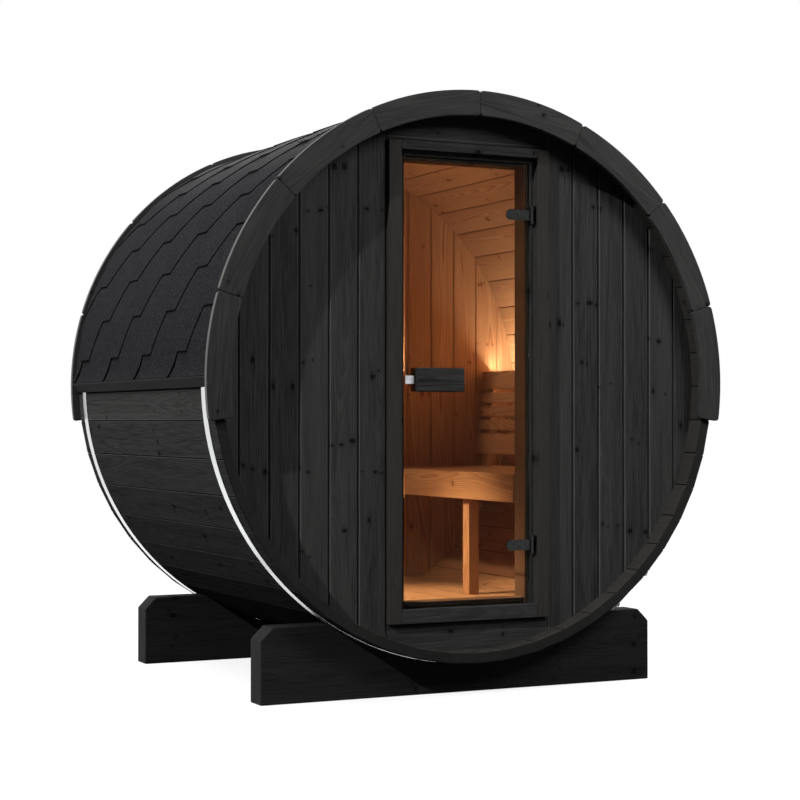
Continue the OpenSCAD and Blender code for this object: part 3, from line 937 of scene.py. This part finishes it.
# Other finishes
def shingle_finish():
    """Bitumen shingle with fine grit."""
    material, tree, shader = new_material("grit_shingle")
    place = object_place(tree)
    grit = noise(tree, place, *GRIT_NOISE)
    cloud = ramp(tree, noise(tree, place, *CLOUD_NOISE), NOISE_SPAN, SHINGLE_SHADE)
    tone = ramp(tree, attribute(tree, "tone", "Fac"), UP, SHINGLE_SHADE)
    colour = blend(tree, calc(tree, "ADD", cloud, tone), SHINGLE_DARK, SHINGLE_PALE)
    colour = blend(tree, ramp(tree, grit, *PALE_GRAINS), colour, GRIT_PALE)
    colour = blend(tree, ramp(tree, grit, *DARK_GRAINS), colour, GRIT_DARK)
    rough = ramp(tree, grit, ROUGH_SPAN, GRIT_ROUGH)
    feed(tree, shader, {"Base Color": colour, "Roughness": rough, "Normal": relief(tree, grit, GRIT_RELIEF)})
    feed(tree, shader, SHINGLE_SHINE)
    return material


def steel_finish(name, dark, bright, rough):
    """Brushed steel with fine lines along its length."""
    material, tree, shader = new_material(name)
    place = object_place(tree)
    lines = noise(tree, scaled(tree, place, BRUSH_STRETCH), 1)
    colour = blend(tree, ramp(tree, lines, NOISE_SPAN), dark, bright)
    cloud = noise(tree, place, *STEEL_CLOUD)
    dullness = ramp(tree, cloud, NOISE_SPAN, (rough, rough + STEEL_SPREAD))
    feed(tree, shader, {"Base Color": colour, "Roughness": dullness})
    feed(tree, shader, {"Normal": relief(tree, lines, STEEL_RELIEF), "Metallic": 1})
    return material


def glass_finish():
    """Bronze tinted toughened glass."""
    material, tree, shader = new_material("bronze_glass")
    haze = noise(tree, object_place(tree), HAZE_SCALE)
    colour = blend(tree, ramp(tree, haze, NOISE_SPAN), *BRONZE)
    feed(tree, shader, {"Base Color": colour, "Roughness": 0, "IOR": GLASS_IOR, "Transmission Weight": 1})
    return material


def lamp_finish():
    """Lit opal cover of the lamp."""
    material, tree, shader = new_material("lit_opal")
    glow = noise(tree, scaled(tree, object_place(tree), OPAL_STRETCH), 1, 1)
    colour = blend(tree, glow, *OPAL)
    feed(tree, shader, {"Base Color": colour, "Emission Color": colour})
    feed(tree, shader, {"Emission Strength": 1, "Roughness": OPAL_ROUGH})
    return material


BLACK_WOOD = black_wood_finish("black_stained_wood", 0)
SHADED_BLACK_WOOD = black_wood_finish("black_wood_with_painted_shade", CRADLE_PAINTED_SHADE)
SPRUCE = spruce_finish("planed_spruce", ROOM_KNOTS)
CLEAR_SPRUCE = spruce_finish("clear_spruce", CLEAR_KNOTS)
# The last two values of each finish set the painted highlight on board edges
SHELL = shell_finish("stained_outside_bare_inside", 1, STAVE_FLAT, 1, JOINT_END, SHELL_EDGE_HIGHLIGHT)
WALL_WOOD = shell_finish("wall_boards_bare_inside", 1, BOARD_FLAT, WALL_FAR_EDGE_HIGHLIGHT, BOARD_W, WALL_EDGE_HIGHLIGHT)
FRAME_WOOD = shell_finish("thin_stain_inside", FRAME_BARE, BOARD_W, 1, BOARD_W, 0)
SHINGLE = shingle_finish()
BRIGHT_STEEL = steel_finish("bright_steel", *BRIGHT)
SATIN_STEEL = steel_finish("satin_steel", *SATIN)
DULL_STEEL = steel_finish("dull_steel", *DULL)
HINGE_STEEL = steel_finish("gunmetal", *GUNMETAL)
GLASS = glass_finish()
LAMP = lamp_finish()


# Shell of staves
def axis_distance(point):
    """Distance of a point from the barrel's axis."""
    return math.hypot(point.x, point.z - AXIS_H)


def inner_edge(edge):
    """True on a stave's long edges on the room's side."""
    radius = axis_distance(middle(edge))
    return runs_along(edge, Y_AXIS) and abs(radius - STAVE_INNER_R) < INNER_REACH


def end_edge(edge):
    """True on the edges round a stave's ends."""
    place = middle(edge)
    radius = axis_distance(place)
    at_end = place.y < STAVE_FRONT + NEAR or place.y > STAVE_BACK - NEAR
    shown = radius > STAVE_R - STAVE_ARRIS or radius < STAVE_INNER_R + STAVE_VEE
    return at_end and shown and not runs_along(edge, Y_AXIS)


def stave_run(node):
    """Staves of one run, with eased edges and each with its own grain."""
    staves = loose_parts(solid_copy(node))
    for stave in staves:
        for test, width in ((inner_edge, STAVE_VEE), (end_edge, STAVE_ARRIS)):
            bevel_edges(stave, test, width, EASE_STEPS)
        smooth(stave)
        centre = centre_of(stave)
        turn = math.atan2(centre.z - AXIS_H, centre.x)
        out = Vector((math.cos(turn), 0, math.sin(turn)))
        lay_grain(stave, Y_AXIS, out.cross(Y_AXIS), AXIS + out * STAVE_R)
    keep(joined(staves), node + "_dressed", SHELL, node)


for hand in ("right", "left"):
    for run in ("ridge", "shoulder", "side", "keel"):
        stave_run(f"staves_{hand}_{run}")


# End walls of upright boards
def wall_board(corner, far_corner, along, across):
    """One board of a wall, with eased long edges and its ends cut round."""
    board = plank(corner, far_corner)
    bevel_edges(board, lambda edge: runs_along(edge, along), BOARD_ARRIS, 1)
    trim_to(board, wall_cutter)
    smooth(board)
    return lay_grain(board, along, across)


def board_wall(name, node, edges):
    """Wall of upright boards between the given edges."""
    boards = []
    for left, right in zip(edges, edges[1:]):
        corner = (left + BOARD_GAP / 2, low(node).y, AXIS_H - WALL_R)
        far_corner = (right - BOARD_GAP / 2, high(node).y, AXIS_H + WALL_R)
        boards.append(wall_board(corner, far_corner, Z_AXIS, X_AXIS))
    keep(joined(boards), name, WALL_WOOD, node)


def cross_board(name, node):
    """Wall board that lies across, over or under the door."""
    keep(wall_board(*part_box(node), X_AXIS, Z_AXIS), name, WALL_WOOD, node)


wall_cutter = round_bar(WALL_R, CUTTER_LEN, CUTTER_SIDES, AXIS, ALONG_Y)
right_edges = [low("front_wall_right").x]
while right_edges[-1] + LEAST_BOARD < WALL_R:
    right_edges.append(right_edges[-1] + BOARD_W)
right_edges.append(WALL_R)
left_edges = [-edge for edge in reversed(right_edges)]
half_count = int(WALL_R / BOARD_W)
rear_edges = [-WALL_R] + [step * BOARD_W for step in range(-half_count, half_count + 1)] + [WALL_R]
board_wall("front_boards_right", "front_wall_right", right_edges)
board_wall("front_boards_left", "front_wall_left", left_edges)
cross_board("board_over_door", "front_wall_over_door")
cross_board("board_under_door", "front_wall_under_door")
board_wall("rear_boards", "rear_wall", rear_edges)
remove(wall_cutter)


# Fascia rings
def fascia_segment():
    """One segment, modelled round the point where its middle faces right."""
    piece = flat_sheet((FASCIA_R - FASCIA_W / 2, 0, 0), FASCIA_W, FASCIA_T)
    pick_all(piece)
    bpy.ops.mesh.spin(steps=FASCIA_STEPS, angle=FASCIA_SWEEP, center=(0, 0, 0), axis=Y_AXIS)
    done()
    piece.rotation_euler = (0, FASCIA_SWEEP / 2, 0)
    settle(piece)

    def corner(edge):
        """True on the short edges at a segment's corners."""
        place = middle(edge)
        return runs_along(edge, Y_AXIS) and abs(math.atan2(place.z, place.x)) > FASCIA_SWEEP / 2 - NEAR

    bevel_edges(piece, corner, FASCIA_CORNER, CORNER_STEPS)
    return soften(piece, FASCIA_ARRIS, ROUND_STEPS)


def fascia_ring(node):
    """Ring of segments round the upper part of one end."""
    pattern = fascia_segment()
    segments = []
    for count in range(FASCIA_COUNT):
        segment = copy_of(pattern)
        lay_grain(segment, Z_AXIS, X_AXIS)
        segment.rotation_euler = (0, FASCIA_BELOW - (count + 0.5) * FASCIA_TURN, 0)
        segment.location = (0, middle_y(node), AXIS_H)
        segments.append(settle(segment))
    remove(pattern)
    ring = joined(segments)
    write_numbers(ring, "rim", lambda point: float(axis_distance(point) > FASCIA_RIM))
    keep(ring, node + "_segments", BLACK_WOOD, node)


fascia_ring("front_fascia")
fascia_ring("rear_fascia")


# Shingled roof
def in_notch(face):
    """True on the faces between two tabs."""
    place = face.calc_center_median()
    return place.x < COURSE and abs(place.y) > TAB_FLAT / 2 + TAB_SLANT * place.x / COURSE


def tab_strip(shift):
    """One course of shingles, laid flat with its length along Y and its lower edge at X zero."""
    tab = flat_sheet((STRIP_LEN / 2, 0, 0), STRIP_LEN, TAB_PITCH)
    for row in range(1, STRIP_ROWS):
        score(tab, (STRIP_LEN * row / STRIP_ROWS, 0, 0), X_AXIS)
    for side in (-1, 1):
        score(tab, (0, side * TAB_FLAT / 2, 0), Vector((-TAB_SLANT, side * COURSE, 0)).normalized())
    score(tab, (COURSE, 0, 0), X_AXIS)
    pick(tab, "FACE", in_notch)
    bpy.ops.mesh.delete(type="FACE")
    done()

    tabs = []
    for number in range(-SPARE_TABS, math.ceil((STAVE_BACK - STAVE_FRONT) / TAB_PITCH) + SPARE_TABS):
        twin = copy_of(tab)
        twin.location = (0, TAB_START + shift + number * TAB_PITCH, 0)
        tabs.append(settle(twin))
    remove(tab)
    strip = joined(tabs)
    pick_all(strip)
    bpy.ops.mesh.remove_doubles(threshold=NEAR)
    done()
    slice_off(strip, (0, ROOF_FRONT, 0), -Y_AXIS)
    slice_off(strip, (0, ROOF_BACK, 0), Y_AXIS)
    return strip


def on_roof(turn, along, radius):
    """Point at a turn up from the right-hand side, a place along the barrel and a radius."""
    return Vector((math.cos(turn) * radius, along, AXIS_H + math.sin(turn) * radius))


def lip_at(up):
    """How far the covering stands out over the eave batten."""
    share = min(1, max(0, 1 - (up - EAVE_UP) / LIP_LEN))
    return LIP_OUT * share * share


def wrap(strip, start, side, lift):
    """Bends a flat course round the barrel, its lower edge lifted by the course below."""
    for vert in strip.data.vertices:
        up = start + vert.co.x
        radius = ROOF_R + lift * (1 - vert.co.x / STRIP_LEN) + lip_at(up)
        vert.co = on_roof(up / ROOF_R, vert.co.y, radius)
        vert.co.x *= side


def thicken(strip, tone):
    """Gives a bent course its thickness, eased edges and shade."""
    pick_all(strip)
    bpy.ops.mesh.normals_make_consistent(inside=False)
    done()
    face = strip.data.polygons[0]
    if face.normal.dot(face.center - AXIS - Y_AXIS * face.center.y) < 0:
        strip.data.flip_normals()
    shell = strip.modifiers.new("Solidify", "SOLIDIFY")
    shell.thickness = SHINGLE_T
    shell.offset = 1
    bpy.ops.object.modifier_apply(modifier="Solidify")
    soften(strip, SHINGLE_ARRIS, 1, SHINGLE_ANGLE)
    write_tone(strip, tone)
    return strip


def shingle_course(pattern, start, side):
    """One course, cut off at the eave and the ridge and laid on one side of the roof."""
    strip = copy_of(pattern)
    slice_off(strip, (EAVE_UP - start, 0, 0), -X_AXIS)
    slice_off(strip, (ROOF_RISE - start, 0, 0), X_AXIS)
    wrap(strip, start, side, STRIP_LIFT)
    return thicken(strip, chance.random())


def starter_strip(side):
    """Plain strip under the lowest tabs."""
    strip = flat_sheet((STRIP_LEN / 2, 0, 0), STRIP_LEN, ROOF_BACK - ROOF_FRONT, STARTER_ROWS)
    wrap(strip, EAVE_UP, side, 0)
    return thicken(strip, STARTER_TONE)


def ridge_cap(near):
    """Cap bent over the ridge, its front end lifted by the cap that it laps."""
    far = min(near + CAP_LEN, ROOF_BACK)
    cap = flat_sheet((0, (near + far) / 2, 0), RIDGE_W, far - near, CAP_ROWS)
    for vert in cap.data.vertices:
        lift = CAP_LIFT * (1 - (vert.co.y - near) / CAP_LEN)
        vert.co = on_roof(QUARTER - vert.co.x / ROOF_R, vert.co.y, CAP_R + lift)
    return thicken(cap, chance.random())


def shingle_roof():
    """Courses from both eaves to the ridge, and caps along it."""
    patterns = [tab_strip(0), tab_strip(TAB_PITCH / 2)]
    courses = []
    for side in (-1, 1):
        for number in range(-1, int((ROOF_RISE - FIRST_COURSE) / COURSE) + 1):
            courses.append(shingle_course(patterns[number % 2], FIRST_COURSE + number * COURSE, side))
    for pattern in patterns:
        remove(pattern)
    courses.extend(starter_strip(side) for side in (-1, 1))
    for number in range(math.ceil((STAVE_BACK - STAVE_FRONT) / RIDGE_STEP)):
        courses.append(ridge_cap(ROOF_FRONT + number * RIDGE_STEP))
    keep(joined(courses), "shingles", SHINGLE, "roof_covering")


def eave_batten(node, side):
    """Batten under the lowest shingles, bevelled on its outer lower side."""
    batten = solid_copy(node)
    foot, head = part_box(node)
    outer = head.x if side > 0 else foot.x
    pick(batten, "VERT", lambda vert: abs(vert.co.x - outer) < NEAR and vert.co.z < foot.z + NEAR)
    bpy.ops.transform.translate(value=(-side * BATTEN_SLOPE, 0, 0))
    done()
    soften(batten, FRAME_ARRIS)
    lay_grain(batten, Y_AXIS, Z_AXIS)
    # The batten takes the black wood darkened by painted shade
    keep(batten, node + "_dressed", SHADED_BLACK_WOOD, node)


shingle_roof()
eave_batten("eave_batten_left", -1)
eave_batten("eave_batten_right", 1)


# Band tensioners
def threaded_rod():
    """Threaded rod along X, with bevelled ends."""
    thread = flat_sheet((0, 0, 0), 1, 1)
    pick(thread, "VERT", lambda vert: True)
    bpy.ops.mesh.merge(type="CENTER")
    bpy.ops.transform.translate(value=(0, 0, ROD_D / 2 - THREAD_DEPTH))
    crest = THREAD_PITCH - 2 * THREAD_FLANK
    for step in ((THREAD_FLANK, 0, THREAD_DEPTH), (crest, 0, 0), (THREAD_FLANK, 0, -THREAD_DEPTH)):
        bpy.ops.mesh.extrude_vertices_move(TRANSFORM_OT_translate={"value": step})
    done()
    screw = thread.modifiers.new("Screw", "SCREW")
    screw.axis = "X"
    screw.screw_offset = THREAD_PITCH
    screw.iterations = int(ROD_LEN / THREAD_PITCH)
    screw.steps = THREAD_STEPS
    screw.use_merge_vertices = True
    bpy.ops.object.modifier_apply(modifier="Screw")
    pick_all(thread)
    bpy.ops.mesh.remove_doubles(threshold=THREAD_MERGE)
    bpy.ops.mesh.fill_holes(sides=0)
    bpy.ops.mesh.normals_make_consistent(inside=False)
    done()
    thread.location = (-ROD_LEN / 2, 0, 0)
    settle(thread)
    core = round_bar(CORE_R, ROD_LEN + 2 * ROD_TIP, ROD_SIDES, (0, 0, 0), ALONG_X)
    soften(core, ROD_ARRIS, EASE_STEPS, ROD_ANGLE)
    return joined([smooth(thread, THREAD_ANGLE), core])


def nut(place, diameter, thickness, sides):
    """Nut or washer round the rod, with eased edges."""
    piece = round_bar(diameter / 2, thickness, sides, (place, 0, 0), ALONG_X)
    return soften(piece, thickness * NUT_EASE, EASE_STEPS, NUT_ANGLE)


def lug(side):
    """Lug that stands on the band, with rounded upper corners."""
    piece = plank((-LUG_T / 2, -LUG_W / 2, BAND_R), (LUG_T / 2, LUG_W / 2, LUG_TOP))

    def upper(edge):
        """True on the edges at the lug's upper corners."""
        return runs_along(edge, X_AXIS) and middle(edge).z > LUG_TOP - NEAR

    bevel_edges(piece, upper, LUG_ROUND, LUG_STEPS)
    soften(piece, LUG_ARRIS)
    piece.rotation_euler = (0, side * LUG_TURN, 0)
    return settle(piece)


def tensioner(node):
    """Lugs, threaded rod, washers and nuts that close a band."""
    rod_parts = [threaded_rod()]
    for side in (-1, 1):
        rod_parts.append(nut(side * WASHER_AT, WASHER_D, WASHER_T, WASHER_SIDES))
        rod_parts.append(nut(side * NUT_AT, NUT_D, NUT_T, NUT_SIDES))
    rod = joined(rod_parts)
    rod.location = (0, 0, ROD_R)
    settle(rod)
    piece = joined([rod, lug(-1), lug(1)])
    piece.rotation_euler = (0, TENSIONER_TURN, 0)
    piece.location = (0, middle_y(node), AXIS_H)
    settle(piece)
    keep(piece, node + "_fittings", DULL_STEEL, node)


tensioner("front_tensioner")
tensioner("rear_tensioner")
for node in ("front_band", "rear_band"):
    frame["nodes"][node].data.materials.clear()
    frame["nodes"][node].data.materials.append(BRIGHT_STEEL)


# Cradles, door frame and inside
# The cradles take the black wood darkened by painted shade, as if in the barrel's shadow
for node in ("cradle_front", "cradle_rear"):
    dress(node, X_AXIS, Z_AXIS, CRADLE_ARRIS, SHADED_BLACK_WOOD)
for node in ("hinge_jamb", "latch_jamb"):
    dress(node, Z_AXIS, X_AXIS, FRAME_ARRIS, FRAME_WOOD)
for node in ("door_head", "door_sill"):
    dress(node, X_AXIS, Z_AXIS, FRAME_ARRIS, FRAME_WOOD)
dress("floor_boards", Y_AXIS, X_AXIS, TIMBER_ARRIS, SPRUCE)
dress("bench_slats", Y_AXIS, X_AXIS, TIMBER_ARRIS, CLEAR_SPRUCE)
for node in ("bench_apron", "backrest_boards"):
    dress(node, Y_AXIS, Z_AXIS, TIMBER_ARRIS, CLEAR_SPRUCE)
for node in ("floor_bearers", "bench_bearers"):
    dress(node, X_AXIS, Z_AXIS, TIMBER_ARRIS, SPRUCE)
for node in ("bench_leg", "backrest_posts"):
    dress(node, Z_AXIS, Y_AXIS, TIMBER_ARRIS, CLEAR_SPRUCE)
dress("backrest_lamp", Y_AXIS, X_AXIS, LAMP_ARRIS, LAMP, segments=ROUND_STEPS)


# Door
dress("door_glass", Z_AXIS, X_AXIS, GLASS_ARRIS, GLASS, "door")
dress("door_handle_outer", X_AXIS, Z_AXIS, HANDLE_ARRIS, BLACK_WOOD, "door", ROUND_STEPS)
dress("door_handle_inner", X_AXIS, Z_AXIS, HANDLE_ARRIS, SPRUCE, "door", ROUND_STEPS)
dress("door_latch", X_AXIS, Z_AXIS, LATCH_ARRIS, SATIN_STEEL, "door")
for level in ("upper", "lower"):
    dress(f"{level}_hinge_arm", X_AXIS, Z_AXIS, HINGE_ARRIS, HINGE_STEEL, "door")
    dress(f"{level}_hinge_plate", X_AXIS, Z_AXIS, HINGE_ARRIS, HINGE_STEEL)


# Stage, light and camera
def seen_ray(tree):
    """1 for rays that look at the surroundings, straight or by way of glass or metal."""
    path = shader_node(tree, "LightPath").outputs
    seen = calc(tree, "MAXIMUM", path["Is Camera Ray"], path["Is Glossy Ray"])
    seen = calc(tree, "MAXIMUM", seen, path["Is Transmission Ray"])
    return calc(tree, "SUBTRACT", seen, path["Diffuse Depth"], clamp=True)


def mixed_shader(tree, share, first, second):
    """Two shaders mixed."""
    return shader_node(tree, "MixShader", {0: share, 1: first, 2: second}).outputs[0]


def pale_floor():
    """Pale floor that looks white, keeps the object's shadow and fades out at its rim."""
    place = (0, 0, -FLOOR_DROP)
    bpy.ops.mesh.primitive_circle_add(vertices=FLOOR_SIDES, radius=FLOOR_R, fill_type="NGON", location=place)
    floor = bpy.context.object
    floor.name = "studio_floor"
    material, tree, shader = new_material("pale_floor")
    tree.nodes.remove(shader)
    seen = seen_ray(tree)
    matt = shader_node(tree, "BsdfDiffuse", {"Color": blend(tree, seen, FLOOR_DARK, FLOOR_PALE)})
    glow = shader_node(tree, "Emission", {"Color": FULL_WHITE, "Strength": 1})
    lit = mixed_shader(tree, times(tree, seen, FLOOR_GLOW), matt.outputs[0], glow.outputs[0])
    fade = ramp(tree, length_node(tree, object_place(tree)), FLOOR_FADE, UP, "SMOOTHSTEP")
    clear = shader_node(tree, "BsdfTransparent")
    feed(tree, tree.nodes["Material Output"], {"Surface": mixed_shader(tree, fade, lit, clear.outputs[0])})
    floor.data.materials.append(material)


def white_world():
    """White surroundings that light the object softly."""
    world = bpy.data.worlds.new("white_studio")
    world.use_nodes = True
    bpy.context.scene.world = world
    tree = world.node_tree
    strength = ramp(tree, seen_ray(tree), UP, (WORLD_LEVEL, 1))
    feed(tree, tree.nodes["Background"], {"Color": FULL_WHITE, "Strength": strength})


def new_light(name, kind, way, settings):
    """Light that shines one way."""
    data = bpy.data.lights.new(name, kind)
    for key, value in settings.items():
        setattr(data, key, value)
    light = bpy.data.objects.new(name, data)
    bpy.context.scene.collection.objects.link(light)
    light.rotation_euler = way.to_track_quat("-Z", "Y").to_euler()
    return light


def hidden_light(name, kind, place, target, **settings):
    """Light that points at a target and isn't seen itself."""
    light = new_light(name, kind, Vector(target) - Vector(place), settings)
    light.location = place
    light.visible_camera = False
    light.visible_transmission = False
    light.visible_glossy = False
    return light


def soft_light(name, place, target, width, length, power, colour):
    """Wide soft light."""
    sizes = {"shape": "RECTANGLE", "size": width, "size_y": length}
    return hidden_light(name, "AREA", place, target, **sizes, energy=power, color=colour)


def room_light(name, place, target, cone, radius, power):
    """Small warm light with a soft-edged cone."""
    sizes = {"spot_size": math.radians(cone), "spot_blend": CONE_BLEND, "shadow_soft_size": radius}
    hidden_light(name, "SPOT", place, target, **sizes, energy=power, color=WARM)


def lamp_light():
    """Long light over the lamp, turned about its own length."""
    foot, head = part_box("backrest_lamp")
    place = Vector(((foot.x + head.x) / 2, (foot.y + head.y) / 2, head.z + GLOW_ABOVE))
    length = head.y - foot.y - GLOW_INSET
    light = soft_light("lamp_glow", place, place + Z_AXIS, GLOW_W, length, GLOW_POWER, GLOW)
    light.rotation_euler = (0, GLOW_TURN, 0)


def photo_camera():
    """Camera at the photograph's place."""
    data = bpy.data.cameras.new("photo_camera")
    data.lens = CAMERA_LENS
    data.sensor_width = SENSOR
    camera = bpy.data.objects.new("photo_camera", data)
    camera.location = CAMERA_PLACE
    camera.rotation_euler = [math.radians(turn) for turn in CAMERA_TURN]
    bpy.context.scene.collection.objects.link(camera)
    bpy.context.scene.camera = camera


pale_floor()
white_world()
new_light("side_key", "SUN", -KEY_COMES_FROM, {"energy": KEY_STRENGTH, "angle": KEY_SOFTNESS})
for name, (place, target, width, power) in SOFT_LIGHTS.items():
    soft_light(name, place, target, width, width, power, WHITE)
lamp_light()
for name, values in ROOM_LIGHTS.items():
    room_light(name, *values)
photo_camera()
bpy.context.scene.view_settings.view_transform = "Standard"
